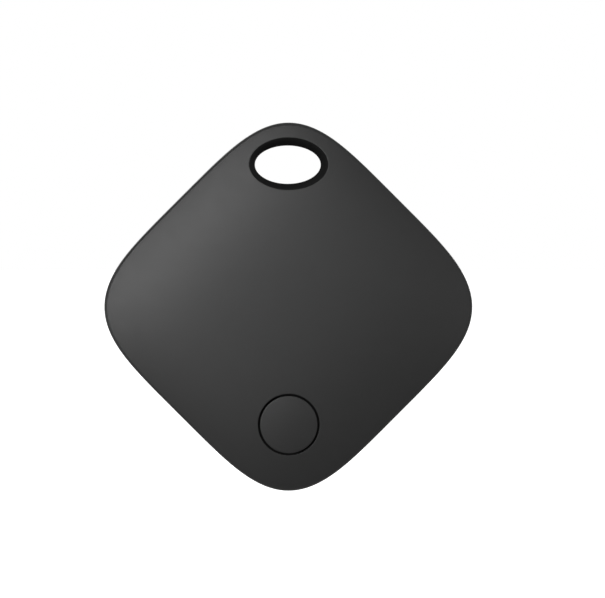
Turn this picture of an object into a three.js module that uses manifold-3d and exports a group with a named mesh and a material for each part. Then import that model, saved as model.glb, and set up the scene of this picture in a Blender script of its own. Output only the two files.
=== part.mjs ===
// A coin-cell bluetooth tracker tag: a domed front shell and a push-fit rear cover round a key eye, with a press
// button, a circuit board with its parts, a piezo buzzer, a seal and a 20 mm coin cell inside.
// Millimetres. Everything is drawn with the tag lying on its rear face: x to the right, y towards the key eye,
// z from the rear face to the front. The last group stands the tag up, front towards -Y and eye at the top,
// with the origin at the middle of the eye.
import * as THREE from 'three';
import { mergeVertices } from 'three/addons/utils/BufferGeometryUtils.js';
import Module from 'manifold-3d';

const wasm = await Module();
wasm.setup();

// ---------------------------------------------------------------- driving dimensions
const HALF_FLATS = 19.0; // half the width across the flats of the case
const OUTLINE_POWER = 4.2; // squareness of the case outline, a superellipse
const THICKNESS = 8.2; // rear face to the crown of the front
const PARTING_Z = 2.6; // where the front shell meets the rear cover
const WALL = 1.1; // front and rear walls
const SIDE_WALL = 1.3; // side wall of the front shell
const SIDE_DRAFT = 0.06; // lean of the front shell's side wall
const CLEAR = 0.03; // between pieces that touch on the real tag

const DOME_ROUND = 0.35; // fall of the front at the flats that goes with the square of the distance
const DOME_EDGE = 0.5; // and the fall that goes with its fourth power
const FRONT_EDGE = 0.3; // edge radius of the front
const REAR_EDGE = 2.2; // edge radius of the rear

const EYE_Y = 17.6; // middle of the key eye
const EYE_LONG = 4.09; // half length of the eye at its waist
const EYE_SHORT = 2.37; // half height of the eye at its waist
const EYE_FLARE_FRONT = 0.76; // how much wider the eye is at the front face
const EYE_FLARE_REAR = 0.7;
const EYE_TUBE_LONG = 5.75; // outside of the tube that lines the eye
const EYE_TUBE_SHORT = 4.1;

const BUTTON_Y = -14.5;
const BUTTON_RADIUS = 3.55;
const APERTURE_RADIUS = 3.8;
const FLANGE_RADIUS = 4.4;
const FLANGE_TOP_Z = 6.65;
const BUTTON_TRAVEL = 0.25;

const LIP_TOP_Z = 3.8; // top of the cover's lip, which plugs into the front shell
const LIP_FIT = 0.08; // between the lip and the shell's wall
const LIP_THICK = 1.1;
const SEAL_DEPTH = 0.65;
const SEAL_LOW_Z = 2.85;
const SEAL_HIGH_Z = 3.4;

const BOARD_REAR_Z = 5.0;
const BOARD_FRONT_Z = 5.8;
const BOARD_HALF = 17.3; // half the board's width across its flats
const FIXING_REACH = 15.4; // screws and stakes, out along the four flats

const CELL_Y = 0.5;
const CELL_REAR_Z = 1.42;
const CELL_RADIUS = 10.0;
const CELL_HEIGHT = 3.16;
const HOLDER_INNER = 10.15;
const HOLDER_OUTER = 11.0;
const HOLDER_REAR_Z = 1.9;
const PARTS_RING = 13.2; // radius round the cell where the small board parts stand

const BUZZER_Y = 1.5;
const BUZZER_RADIUS = 7.5;
const BUZZER_SEAT_Z = 6.95;
const BUZZER_SHEET = 0.2;

const FINE = 84; // facets round the case
const MEDIUM = 40;
const SMALL = 16;
const WELD = 1e-4;
const RIGHT_ANGLE = Math.PI / 2;

const ceilingZ = THICKNESS - WALL;
const shellRearZ = PARTING_Z + CLEAR;
const coverFrontZ = PARTING_Z - CLEAR;
const cavityHalf = HALF_FLATS - SIDE_WALL;
const flangeRearZ = FLANGE_TOP_Z - 0.35;

// ---------------------------------------------------------------- colours
function material(color, roughness, metalness) {
  return new THREE.MeshStandardMaterial({ color, roughness, metalness });
}

const caseBlack = material(0x2a2a2b, 0.55, 0);
const buttonBlack = material(0x28282a, 0.5, 0);
const sealGrey = material(0x3d4043, 0.8, 0);
const boardGreen = material(0x1d4a2f, 0.45, 0);
const chipBlack = material(0x1b1b1d, 0.5, 0);
const ceramicTan = material(0x9a7b55, 0.5, 0);
const resistorBlack = material(0x202024, 0.4, 0);
const ferrite = material(0x3a3c40, 0.6, 0);
const copper = material(0xc07a4a, 0.35, 1);
const brass = material(0xc9a45c, 0.3, 1);
const piezoWhite = material(0xd8d4c8, 0.5, 0);
const adhesiveClear = material(0xc8c6bd, 0.6, 0);
const steel = material(0xc4c6c9, 0.28, 1);
const springSteel = material(0xb9bbbd, 0.3, 1);
const lithium = material(0xa9adb2, 0.4, 1);
const cathodeBlack = material(0x26262a, 0.9, 0);
const separatorWhite = material(0xe8e6e0, 0.9, 0);
const gasketGrey = material(0x8b8d8f, 0.6, 0);
const holderBlack = material(0x1f2022, 0.6, 0);
const foamGrey = material(0x55585b, 0.95, 0);
const plungerWhite = material(0xd9d6cf, 0.6, 0);

// ---------------------------------------------------------------- solids and meshes
function isRealTriangle(a, b, c) {
  return a !== b && b !== c && c !== a;
}

function solidOf(geometry) {
  const bare = geometry.clone();
  bare.deleteAttribute('normal');
  bare.deleteAttribute('uv');
  const welded = mergeVertices(bare, WELD);
  const corners = welded.index.array;
  const triangles = [];
  for (let i = 0; i < corners.length; i += 3) {
    const triangle = Array.from(corners.subarray(i, i + 3));
    if (isRealTriangle(...triangle)) triangles.push(...triangle);
  }
  return new wasm.Manifold(new wasm.Mesh({
    numProp: 3,
    vertProperties: welded.attributes.position.array,
    triVerts: new Uint32Array(triangles),
  }));
}

function geometryOf(solid) {
  const mesh = solid.getMesh();
  const geometry = new THREE.BufferGeometry();
  geometry.setAttribute('position', new THREE.BufferAttribute(mesh.vertProperties, 3));
  geometry.setIndex(new THREE.BufferAttribute(mesh.triVerts, 1));
  geometry.computeVertexNormals();
  return geometry;
}

function join(solids) {
  return solids.reduce((whole, solid) => whole.add(solid));
}

function cut(solid, tools) {
  return tools.reduce((rest, tool) => rest.subtract(tool), solid);
}

function moved(geometry, move) {
  const position = geometry.attributes.position;
  const point = new THREE.Vector3();
  for (let i = 0; i < position.count; i += 1) {
    move(point.fromBufferAttribute(position, i));
    position.setXYZ(i, point.x, point.y, point.z);
  }
  return geometry;
}

// A shape turned about the z axis from its [radius, height] profile.
function turned(profile, facets) {
  const points = profile.map(([radius, height]) => new THREE.Vector2(radius, height));
  return new THREE.LatheGeometry(points, facets).rotateX(RIGHT_ANGLE);
}

function disc(radius, low, high, facets) {
  return turned([[0, low], [radius, low], [radius, high], [0, high]], facets);
}

function ring(inner, outer, low, high, facets) {
  return turned([[inner, low], [outer, low], [outer, high], [inner, high], [inner, low]], facets);
}

// A quarter round from [radius, low] inwards and up, as profile points.
function quarterRound(radius, low, inset, rise, steps) {
  return Array.from({ length: steps + 1 }, (_, i) => {
    const angle = RIGHT_ANGLE * i / steps;
    return [radius - inset * (1 - Math.cos(angle)), low + rise * Math.sin(angle)];
  });
}

function block(length, width, low, high) {
  return new THREE.BoxGeometry(length, width, high - low).translate(0, 0, (low + high) / 2);
}

// A moulded block with its four upright edges and its two faces chamfered.
function chamferedBlock(length, width, low, high, chamfer) {
  const halfLength = length / 2 - chamfer;
  const halfWidth = width / 2 - chamfer;
  const outline = new THREE.Shape();
  outline.moveTo(-halfLength, -halfWidth);
  outline.lineTo(halfLength, -halfWidth);
  outline.lineTo(halfLength, halfWidth);
  outline.lineTo(-halfLength, halfWidth);
  outline.closePath();
  const bevel = { bevelSegments: 1, bevelSize: chamfer, bevelThickness: chamfer };
  const geometry = new THREE.ExtrudeGeometry(outline, { depth: high - low - 2 * chamfer, ...bevel });
  return geometry.translate(0, 0, low + chamfer);
}

// A strip bent to a profile in the x-z plane, with its width along y.
function bentStrip(profile, width) {
  const outline = new THREE.Shape(profile.map(([x, z]) => new THREE.Vector2(x, z)));
  const geometry = new THREE.ExtrudeGeometry(outline, { depth: width, bevelEnabled: false });
  return geometry.rotateX(RIGHT_ANGLE).translate(0, width / 2, 0);
}

// ---------------------------------------------------------------- the case outline
// The outline is a superellipse, |u/a|^n + |v/a|^n = 1, stood on its corner: this is its reach over a.
function outlineReach(angle) {
  const fromFlat = angle - Math.PI / 4;
  const powers = Math.abs(Math.cos(fromFlat)) ** OUTLINE_POWER + Math.abs(Math.sin(fromFlat)) ** OUTLINE_POWER;
  return powers ** (-1 / OUTLINE_POWER);
}

function toOutline(point) {
  const reach = outlineReach(Math.atan2(point.y, point.x));
  point.x *= reach;
  point.y *= reach;
}

function domeFall(x, y) {
  const u = (x + y) * Math.SQRT1_2 / HALF_FLATS;
  const v = (y - x) * Math.SQRT1_2 / HALF_FLATS;
  return DOME_ROUND * (u ** 2 + v ** 2) + DOME_EDGE * (u ** 4 + v ** 4);
}

// Lowers a flat top into the dome, fading out down the side wall.
function domed(geometry, footZ) {
  return moved(geometry, (point) => {
    const share = THREE.MathUtils.clamp((point.z - PARTING_Z) / (footZ - PARTING_Z), 0, 1);
    point.z -= share * domeFall(point.x, point.y);
  });
}

function outlineSolid(profile) {
  return moved(turned(profile, FINE), toOutline);
}

function outlinePrism(half, low, high) {
  return solidOf(outlineSolid([[0, low], [half, low], [half, high], [0, high]]));
}

// Rings of a flat top at these shares of its half width, from the rim to the middle.
function topRings(half, height, shares) {
  return shares.map((share) => [half * share, height]);
}

// ---------------------------------------------------------------- the key eye
function ovalPrism(long, short, low, high) {
  return solidOf(disc(1, low, high, MEDIUM).scale(long, short, 1).translate(0, EYE_Y, 0));
}

// The eye narrows from both faces to a waist at the parting plane.
function eyeHole() {
  const past = 0.4;
  const frontGrowth = EYE_FLARE_FRONT / (THICKNESS - PARTING_Z - 0.6);
  const rearGrowth = EYE_FLARE_REAR / PARTING_Z;
  const profile = [
    [0, -past],
    [EYE_LONG + rearGrowth * (PARTING_Z + past), -past],
    [EYE_LONG, PARTING_Z],
    [EYE_LONG + frontGrowth * (THICKNESS - PARTING_Z + past), THICKNESS + past],
    [0, THICKNESS + past],
  ];
  const squeeze = EYE_LONG - EYE_SHORT;
  const hole = moved(turned(profile, MEDIUM), (point) => {
    const radius = Math.hypot(point.x, point.y);
    if (radius > squeeze) point.y *= (radius - squeeze) / radius;
  });
  return solidOf(hole.translate(0, EYE_Y, 0));
}

// The inside of the case at the lip: the outline set in, with the eye kept out of it.
function lipRegion(inset, low, high) {
  const oval = ovalPrism(EYE_TUBE_LONG + 0.35 + inset, EYE_TUBE_SHORT + 0.35 + inset, low - 1, high + 1);
  return outlinePrism(cavityHalf - LIP_FIT - inset, low, high).subtract(oval);
}

function lipRing(outerInset, innerInset, low, high) {
  return lipRegion(outerInset, low, high).subtract(lipRegion(innerInset, low - 1, high + 1));
}

// ---------------------------------------------------------------- places of the fixings
function onFlat(quarter) {
  const angle = Math.PI / 4 + quarter * RIGHT_ANGLE;
  return [FIXING_REACH * Math.cos(angle), FIXING_REACH * Math.sin(angle)];
}

const screwPlaces = [onFlat(1), onFlat(3)];
const stakePlaces = [onFlat(0), onFlat(2)];

// ---------------------------------------------------------------- front shell
function frontOuter() {
  const footZ = THICKNESS - FRONT_EDGE;
  const sideHalf = HALF_FLATS - SIDE_DRAFT;
  const profile = [
    [0, shellRearZ],
    [HALF_FLATS, shellRearZ],
    ...quarterRound(sideHalf, footZ, FRONT_EDGE, FRONT_EDGE, 3),
    ...topRings(HALF_FLATS, THICKNESS, [0.88, 0.72, 0.52, 0.28, 0]),
  ];
  return solidOf(domed(outlineSolid(profile), footZ));
}

function frontCavity() {
  const corner = 0.4;
  const footZ = ceilingZ - corner;
  const profile = [
    [0, shellRearZ - 1],
    [cavityHalf, shellRearZ - 1],
    [cavityHalf, footZ],
    [cavityHalf - corner, ceilingZ],
    ...topRings(HALF_FLATS, ceilingZ, [0.7, 0.4, 0]),
  ];
  return solidOf(domed(outlineSolid(profile), footZ));
}

const rootedZ = 6.9; // where bosses and stakes end inside the front wall

function boardStake([x, y]) {
  const headZ = BOARD_REAR_Z - CLEAR;
  const profile = [
    [0, headZ - 0.42], [0.6, headZ - 0.42], [1.0, headZ - 0.27], [1.0, headZ],
    [0.6, headZ], [0.6, rootedZ], [0, rootedZ],
  ];
  return solidOf(turned(profile, SMALL).translate(x, y, 0));
}

function screwBoss([x, y]) {
  return solidOf(disc(1.9, BOARD_FRONT_Z + CLEAR, rootedZ, SMALL).translate(x, y, 0));
}

function screwPilot([x, y]) {
  return solidOf(disc(0.75, BOARD_FRONT_Z, 7.1, SMALL).translate(x, y, 0));
}

function frontShell() {
  const seat = ring(BUZZER_RADIUS - 1.3, BUZZER_RADIUS + 0.2, BUZZER_SEAT_Z, BUZZER_SEAT_Z + 0.3, MEDIUM);
  const walls = join([
    cut(frontOuter(), [frontCavity()]),
    ovalPrism(EYE_TUBE_LONG, EYE_TUBE_SHORT, shellRearZ, BUZZER_SEAT_Z),
    solidOf(seat.translate(0, BUZZER_Y, 0)),
    ...stakePlaces.map(boardStake),
    ...screwPlaces.map(screwBoss),
  ]);
  const aperture = disc(APERTURE_RADIUS, flangeRearZ, THICKNESS, MEDIUM).translate(0, BUTTON_Y, 0);
  const pocket = disc(FLANGE_RADIUS + 0.3, flangeRearZ - 1, FLANGE_TOP_Z + 0.1, MEDIUM);
  return geometryOf(cut(walls, [
    eyeHole(),
    solidOf(aperture),
    solidOf(pocket.translate(0, BUTTON_Y, 0)),
    ...screwPlaces.map(screwPilot),
  ]));
}

// ---------------------------------------------------------------- rear cover and seal
function rearOuter() {
  const edge = quarterRound(HALF_FLATS, REAR_EDGE, REAR_EDGE, -REAR_EDGE, 5).reverse();
  return solidOf(outlineSolid([[0, 0], ...edge, [HALF_FLATS, coverFrontZ], [0, coverFrontZ]]));
}

function pryNotch() {
  const corner = HALF_FLATS * outlineReach(0);
  return solidOf(block(6, 2, PARTING_Z - 0.9, PARTING_Z + 1).translate(0, -corner, 0));
}

function rearCover() {
  const cornerPost = disc(1.3, WALL - 0.2, BOARD_REAR_Z - CLEAR, SMALL).translate(0, BUTTON_Y, 0);
  const walls = join([
    cut(rearOuter(), [outlinePrism(cavityHalf - LIP_FIT - LIP_THICK, WALL, THICKNESS)]),
    lipRing(0, LIP_THICK, PARTING_Z - 0.5, LIP_TOP_Z),
    ovalPrism(EYE_TUBE_LONG, EYE_TUBE_SHORT, WALL - 0.2, coverFrontZ),
    solidOf(cornerPost),
  ]);
  const groove = lipRing(-1, SEAL_DEPTH, SEAL_LOW_Z - CLEAR, SEAL_HIGH_Z + CLEAR);
  return geometryOf(cut(walls, [eyeHole(), groove, pryNotch()]));
}

function caseSeal() {
  return geometryOf(lipRing(0.02, SEAL_DEPTH - CLEAR, SEAL_LOW_Z, SEAL_HIGH_Z));
}

// ---------------------------------------------------------------- button
function buttonCap() {
  const rimZ = THICKNESS - domeFall(0, BUTTON_Y) - 0.1;
  const undersideZ = 7.0;
  const bossZ = 6.62;
  const bossRadius = 0.65;
  const edge = 0.08;
  const crown = 0.06;
  const slopeFootZ = undersideZ + 0.15; // above this the cap follows the slope of the case
  const profile = [
    [0, bossZ], [bossRadius, bossZ], [bossRadius, undersideZ], [2.7, undersideZ],
    [2.7, flangeRearZ], [FLANGE_RADIUS, flangeRearZ], [FLANGE_RADIUS, FLANGE_TOP_Z],
    [BUTTON_RADIUS, FLANGE_TOP_Z], [BUTTON_RADIUS, rimZ - edge], [BUTTON_RADIUS - edge, rimZ],
    [BUTTON_RADIUS * 0.6, rimZ + crown * 0.64], [0, rimZ + crown],
  ];
  const cap = turned(profile, MEDIUM).translate(0, BUTTON_Y, 0);
  return moved(cap, (point) => {
    if (point.z > slopeFootZ) point.z -= domeFall(point.x, point.y) - domeFall(0, BUTTON_Y);
  });
}

const switchLowZ = BOARD_FRONT_Z + CLEAR;
const switchHighZ = 6.35;

function switchBody() {
  const hole = solidOf(disc(0.7, switchLowZ - 1, switchHighZ + 1, SMALL));
  return geometryOf(solidOf(block(3.0, 2.6, switchLowZ, switchHighZ)).subtract(hole));
}

function switchFrame() {
  const plate = solidOf(block(2.9, 2.5, switchHighZ + 0.02, switchHighZ + 0.12));
  return geometryOf(plate.subtract(solidOf(disc(0.85, switchHighZ - 1, switchHighZ + 1, SMALL))));
}

function switchPlunger() {
  return disc(0.6, switchLowZ + BUTTON_TRAVEL + 0.02, 6.6, SMALL);
}

// ---------------------------------------------------------------- circuit board and its parts
function circuitBoard() {
  const high = BOARD_FRONT_Z;
  const low = BOARD_REAR_Z;
  const fixingHole = (radius) => ([x, y]) => solidOf(disc(radius, low - 1, high + 1, SMALL).translate(x, y, 0));
  const horns = block(40, 10, low - 1, high + 1).translate(0, 15.5 + 5, 0);
  return geometryOf(cut(outlinePrism(BOARD_HALF, low, high), [
    ovalPrism(EYE_TUBE_LONG + 0.35, EYE_TUBE_SHORT + 0.35, low - 1, high + 1),
    solidOf(horns),
    ...screwPlaces.map(fixingHole(0.8)),
    ...stakePlaces.map(fixingHole(0.72)),
  ]));
}

function boardScrew() {
  const headZ = BOARD_REAR_Z - CLEAR;
  return turned([
    [0, headZ - 0.5], [0.9, headZ - 0.5], [1.25, headZ - 0.25], [1.25, headZ],
    [0.65, headZ], [0.65, 6.7], [0.35, 7.0], [0, 7.0],
  ], SMALL);
}

// A part on the rear side of the board.
function boardPart(length, width, height, chamfer) {
  const high = BOARD_REAR_Z - CLEAR;
  return chamferedBlock(length, width, high - height, high, chamfer);
}

const antennaPitch = 1.3;
const antennaFolds = 4;

// A folded trace, drawn along x with its folds along y.
function antennaTrace() {
  const low = BOARD_REAR_Z - 0.12;
  const high = BOARD_REAR_Z - 0.02;
  const trace = 0.45;
  const fold = 2.6;
  const pieces = [];
  for (let i = 0; i <= antennaFolds; i += 1) {
    const x = (i - antennaFolds / 2) * antennaPitch;
    pieces.push(block(trace, fold, low, high).translate(x, 0, 0));
    if (i < antennaFolds) {
      const side = i % 2 === 0 ? 1 : -1;
      const bridge = block(antennaPitch + trace, trace, low, high);
      pieces.push(bridge.translate(x + antennaPitch / 2, side * (fold - trace) / 2, 0));
    }
  }
  return geometryOf(join(pieces.map(solidOf)));
}

// ---------------------------------------------------------------- buzzer
const plateHighZ = BUZZER_SEAT_Z - 0.14;
const ceramicHighZ = plateHighZ - BUZZER_SHEET - 0.02;

function buzzerSpring(topZ) {
  const wire = 0.09;
  const turns = 2.5;
  const steps = 12;
  const lowZ = BOARD_FRONT_Z + CLEAR + wire;
  const points = [];
  for (let i = 0; i <= turns * steps; i += 1) {
    const angle = 2 * Math.PI * i / steps;
    const height = THREE.MathUtils.lerp(lowZ, topZ - wire, i / (turns * steps));
    points.push(new THREE.Vector3(0.6 * Math.cos(angle), 0.6 * Math.sin(angle), height));
  }
  const section = new THREE.Shape();
  section.absarc(0, 0, wire, 0, 2 * Math.PI);
  const path = new THREE.CatmullRomCurve3(points);
  return new THREE.ExtrudeGeometry(section, { steps: turns * steps, curveSegments: 3, extrudePath: path });
}

// ---------------------------------------------------------------- coin cell
function cellCan() {
  const r = CELL_RADIUS;
  return turned([
    [0, 0], [r - 0.5, 0], [r - 0.14, 0.15], [r, 0.5], [r, 2.7], [r - 0.25, 2.95], [r - 0.9, 2.95],
    [r - 0.9, 2.75], [r - 0.3, 2.7], [r - 0.25, 2.5], [r - 0.25, 0.35], [r - 0.35, 0.25], [0, 0.25],
  ], MEDIUM);
}

function cellGasket() {
  return turned([
    [8.95, 0.3], [9.68, 0.3], [9.68, 2.62], [9.08, 2.62], [9.08, 3.0], [8.95, 3.0], [8.95, 0.3],
  ], MEDIUM);
}

function cellCap() {
  return turned([
    [0, 2.96], [8.4, 2.96], [8.72, 2.75], [8.72, 0.6], [8.92, 0.6], [8.92, 2.85],
    [8.5, CELL_HEIGHT], [0, CELL_HEIGHT],
  ], MEDIUM);
}

function cellHolder() {
  const high = BOARD_REAR_Z - CLEAR;
  const window = solidOf(block(30, 4, 2.4, high + 1));
  const notch = solidOf(block(7, 6, HOLDER_REAR_Z - 1, 3.4).translate(0, -HOLDER_OUTER, 0));
  const holder = solidOf(ring(HOLDER_INNER, HOLDER_OUTER, HOLDER_REAR_Z, high, MEDIUM));
  return geometryOf(cut(holder, [window, notch]));
}

function positiveContact() {
  const sheet = 0.2;
  const inner = CELL_RADIUS + 0.05;
  const outer = inner + sheet;
  const high = BOARD_REAR_Z - CLEAR;
  return bentStrip([
    [inner, 2.9], [outer, 2.55], [outer + 0.25, 2.45], [outer + 0.15, 2.7], [outer, 2.95],
    [outer, high - sheet], [12.4, high - sheet], [12.4, high], [inner, high],
  ], 3);
}

function negativeContact() {
  const sheet = 0.12;
  const high = BOARD_REAR_Z - CLEAR;
  const reach = 6;
  const steps = 12;
  const sag = high - sheet - (CELL_REAR_Z + CELL_HEIGHT + 0.05);
  const lower = [];
  for (let i = 0; i <= steps; i += 1) {
    const share = i / steps * 2 - 1;
    lower.push([reach * share, high - sheet - sag * (1 + Math.cos(Math.PI * share)) / 2]);
  }
  const upper = lower.map(([x, z]) => [x, z + sheet]).reverse();
  return bentStrip([...lower, ...upper], 5);
}

// ---------------------------------------------------------------- the assembly
const tag = new THREE.Group();

function place(name, geometry, finish, x = 0, y = 0, z = 0, turn = 0) {
  const mesh = new THREE.Mesh(geometry, finish);
  mesh.name = name;
  mesh.position.set(x, y, z);
  mesh.rotation.z = turn;
  tag.add(mesh);
}

// Puts a board part on the ring round the cell, its length pointing at the cell.
function placeOnRing(name, geometry, finish, degrees, radius = PARTS_RING) {
  const turn = THREE.MathUtils.degToRad(degrees);
  place(name, geometry, finish, radius * Math.cos(turn), CELL_Y + radius * Math.sin(turn), 0, turn);
}

place('front_shell', frontShell(), caseBlack);
place('rear_cover', rearCover(), caseBlack);
place('case_seal', caseSeal(), sealGrey);
place('button_cap', buttonCap(), buttonBlack);
place('switch_body', switchBody(), chipBlack, 0, BUTTON_Y);
place('switch_frame', switchFrame(), steel, 0, BUTTON_Y);
place('switch_plunger', switchPlunger(), plungerWhite, 0, BUTTON_Y);

place('circuit_board', circuitBoard(), boardGreen);
screwPlaces.forEach(([x, y], i) => place(`board_screw_${i + 1}`, boardScrew(), steel, x, y));
place('radio_chip', boardPart(4, 4, 0.85, 0.06), chipBlack, 15, 1.6);
place('radio_crystal', boardPart(2, 1.6, 0.5, 0.05), steel, 14.4, -2.2);
place('clock_crystal', boardPart(1.6, 1, 0.4, 0.05), steel, 17, -1.9);
place('boost_inductor', boardPart(3, 3, 1.2, 0.2), ferrite, -15, 1.5);
place('driver_transistor', boardPart(2.9, 1.3, 1, 0.1), chipBlack, -15.2, -1.9);
placeOnRing('driver_diode', boardPart(1.7, 1.25, 0.8, 0.08), chipBlack, 157);
placeOnRing('motion_sensor', boardPart(2, 2, 0.9, 0.05), chipBlack, -70, 14);
const capacitorDegrees = [-34, -27, -20, 200, 207, 214];
capacitorDegrees.forEach((degrees, i) => {
  placeOnRing(`capacitor_${i + 1}`, boardPart(1.6, 0.8, 0.8, 0.06), ceramicTan, degrees);
});
const resistorDegrees = [-61, -54, 235, 242];
resistorDegrees.forEach((degrees, i) => {
  placeOnRing(`resistor_${i + 1}`, boardPart(1.6, 0.8, 0.45, 0.05), resistorBlack, degrees);
});
const inductorDegrees = [20, 27];
inductorDegrees.forEach((degrees, i) => {
  placeOnRing(`antenna_inductor_${i + 1}`, boardPart(1.4, 0.7, 0.5, 0.05), ferrite, degrees, 12.8);
});
const antennaAlong = 15.2;
const antennaAcross = -4.9;
place(
  'antenna_trace', antennaTrace(), copper,
  (antennaAlong - antennaAcross) * Math.SQRT1_2, (antennaAlong + antennaAcross) * Math.SQRT1_2, 0, -Math.PI / 4,
);

place(
  'buzzer_adhesive', ring(6.4, BUZZER_RADIUS, BUZZER_SEAT_Z - 0.12, BUZZER_SEAT_Z - 0.02, MEDIUM), adhesiveClear,
  0, BUZZER_Y,
);
place('buzzer_plate', disc(BUZZER_RADIUS, plateHighZ - BUZZER_SHEET, plateHighZ, MEDIUM), brass, 0, BUZZER_Y);
place('buzzer_ceramic', disc(5, ceramicHighZ - BUZZER_SHEET, ceramicHighZ, MEDIUM), piezoWhite, 0, BUZZER_Y);
place('buzzer_spring_1', buzzerSpring(ceramicHighZ - BUZZER_SHEET - CLEAR), springSteel, 0, BUZZER_Y);
place('buzzer_spring_2', buzzerSpring(plateHighZ - BUZZER_SHEET - CLEAR), springSteel, -6.2, BUZZER_Y);

place('cell_can', cellCan(), steel, 0, CELL_Y, CELL_REAR_Z);
place('cell_gasket', cellGasket(), gasketGrey, 0, CELL_Y, CELL_REAR_Z);
place('cell_cap', cellCap(), steel, 0, CELL_Y, CELL_REAR_Z);
place('cell_cathode', disc(8.5, 0.28, 1.97, MEDIUM), cathodeBlack, 0, CELL_Y, CELL_REAR_Z);
place('cell_separator', disc(8.6, 2.0, 2.15, MEDIUM), separatorWhite, 0, CELL_Y, CELL_REAR_Z);
place('cell_anode', disc(8.3, 2.18, 2.93, MEDIUM), lithium, 0, CELL_Y, CELL_REAR_Z);
place('cell_holder', cellHolder(), holderBlack, 0, CELL_Y);
place('positive_contact_1', positiveContact(), springSteel, 0, CELL_Y);
place('positive_contact_2', positiveContact(), springSteel, 0, CELL_Y, 0, Math.PI);
place('negative_contact', negativeContact(), springSteel, 0, CELL_Y);
place('cell_foam_pad', disc(8, WALL + CLEAR, CELL_REAR_Z - 0.04, MEDIUM), foamGrey, 0, CELL_Y);

const upright = new THREE.Group();
tag.rotation.x = RIGHT_ANGLE;
tag.position.set(0, THICKNESS / 2, -EYE_Y);
upright.add(tag);

export default upright;
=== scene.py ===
# The looks of a bluetooth tracker tag: a satin black case with a press button and a key eye, and its inside.
# Shapes are drawn in millimetres lying on the rear face, x to the right, y towards the key eye and z towards
# the front, and are stood up into the frame by one matrix.
import math

import bmesh
import bpy
import numpy as np
from mathutils import Matrix, Vector
from mathutils.geometry import delaunay_2d_cdt

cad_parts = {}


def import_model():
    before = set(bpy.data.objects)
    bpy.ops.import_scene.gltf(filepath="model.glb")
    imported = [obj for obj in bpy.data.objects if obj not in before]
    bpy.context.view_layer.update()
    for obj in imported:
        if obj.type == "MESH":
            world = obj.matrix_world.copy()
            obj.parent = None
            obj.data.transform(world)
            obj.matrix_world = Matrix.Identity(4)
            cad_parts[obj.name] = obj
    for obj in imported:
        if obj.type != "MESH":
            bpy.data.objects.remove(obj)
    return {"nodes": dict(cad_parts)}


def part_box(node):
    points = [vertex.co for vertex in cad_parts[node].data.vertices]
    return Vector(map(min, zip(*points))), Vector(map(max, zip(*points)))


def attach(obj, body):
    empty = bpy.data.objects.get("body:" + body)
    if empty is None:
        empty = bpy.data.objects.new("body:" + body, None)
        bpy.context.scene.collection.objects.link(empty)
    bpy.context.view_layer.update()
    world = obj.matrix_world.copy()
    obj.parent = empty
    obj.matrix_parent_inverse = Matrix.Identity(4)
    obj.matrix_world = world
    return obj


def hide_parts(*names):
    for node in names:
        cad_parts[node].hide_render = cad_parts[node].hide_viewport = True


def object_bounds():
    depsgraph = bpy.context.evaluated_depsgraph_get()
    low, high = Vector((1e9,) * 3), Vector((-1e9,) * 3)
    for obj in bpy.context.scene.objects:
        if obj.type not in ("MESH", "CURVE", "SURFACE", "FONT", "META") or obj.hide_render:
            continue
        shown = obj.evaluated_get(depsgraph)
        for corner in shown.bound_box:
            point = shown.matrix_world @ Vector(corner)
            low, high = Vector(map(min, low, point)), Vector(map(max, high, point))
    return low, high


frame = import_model()
cad_low, cad_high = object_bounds()

# ---------------------------------------------------------------- driving dimensions, millimetres
MM = 0.001
OUTLINE_POWER = 4.2
CORNER_RATIO = 2 ** (0.5 - 1 / OUTLINE_POWER)  # reach of a corner over half the width across the flats

THICKNESS = (cad_high.y - cad_low.y) / MM
HALF_FLATS = (cad_high.x - cad_low.x) / 2 / MM / CORNER_RATIO
EYE_Y = -(cad_high.z + cad_low.z) / 2 / MM
WORLD = Matrix((
    (MM, 0, 0, 0),
    (0, 0, -MM, cad_high.y),
    (0, MM, 0, -EYE_Y * MM),
    (0, 0, 0, 1),
))


def drawn_box(node):
    """The box of a CAD node in the drawing's millimetres: (low, high)."""
    corners = [WORLD.inverted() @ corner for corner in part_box(node)]
    return (Vector(map(min, *corners)), Vector(map(max, *corners)))


shell_low = drawn_box("front_shell")[0]
button_low, button_high = drawn_box("button_cap")
cell_low, cell_high = drawn_box("cell_can")
board_low, board_high = drawn_box("circuit_board")

WALL = 1.1
SIDE_WALL = 1.3
SHELL_REAR_Z = shell_low.z
PARTING_Z = 2.6
COVER_FRONT_Z = 2 * PARTING_Z - SHELL_REAR_Z
CAVITY_HALF = HALF_FLATS - SIDE_WALL
DOME_ROUND = 0.35
DOME_EDGE = 0.5
FRONT_EDGE = 0.3
SIDE_DRAFT = 0.06
REAR_EDGE = 2.2
SHUT_CHAMFER = 0.1

EYE_LONG = 4.09
EYE_SHORT = 2.37
EYE_FLARE_FRONT = 0.76
EYE_FLARE_REAR = 0.7
EYE_FLARE_TOP = 0.2  # share by which the flare opens further towards the corner
EYE_TUBE_LONG = 5.75
EYE_TUBE_SHORT = 4.1
EYE_RIM = 0.08

BUTTON_Y = (button_low.y + button_high.y) / 2
FLANGE_RADIUS = (button_high.x - button_low.x) / 2
BUTTON_RADIUS = 3.55
APERTURE_RADIUS = 3.8
APERTURE_RIM = 0.05
FLANGE_TOP_Z = 6.65

LIP_TOP_Z = 3.8
LIP_FIT = 0.08  # play between the lip and the shell's wall
TUBE_FIT = 0.35  # play between the lip and the tube of the eye
LIP_THICK = 1.1
SEAL_DEPTH = 0.65
SEAL_LOW_Z = 2.82
SEAL_HIGH_Z = 3.43

OUTLINE_POINTS = 360
OVAL_POINTS = 96
RIGHT_ANGLE = math.pi / 2
CREASE = math.radians(38)


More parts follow.
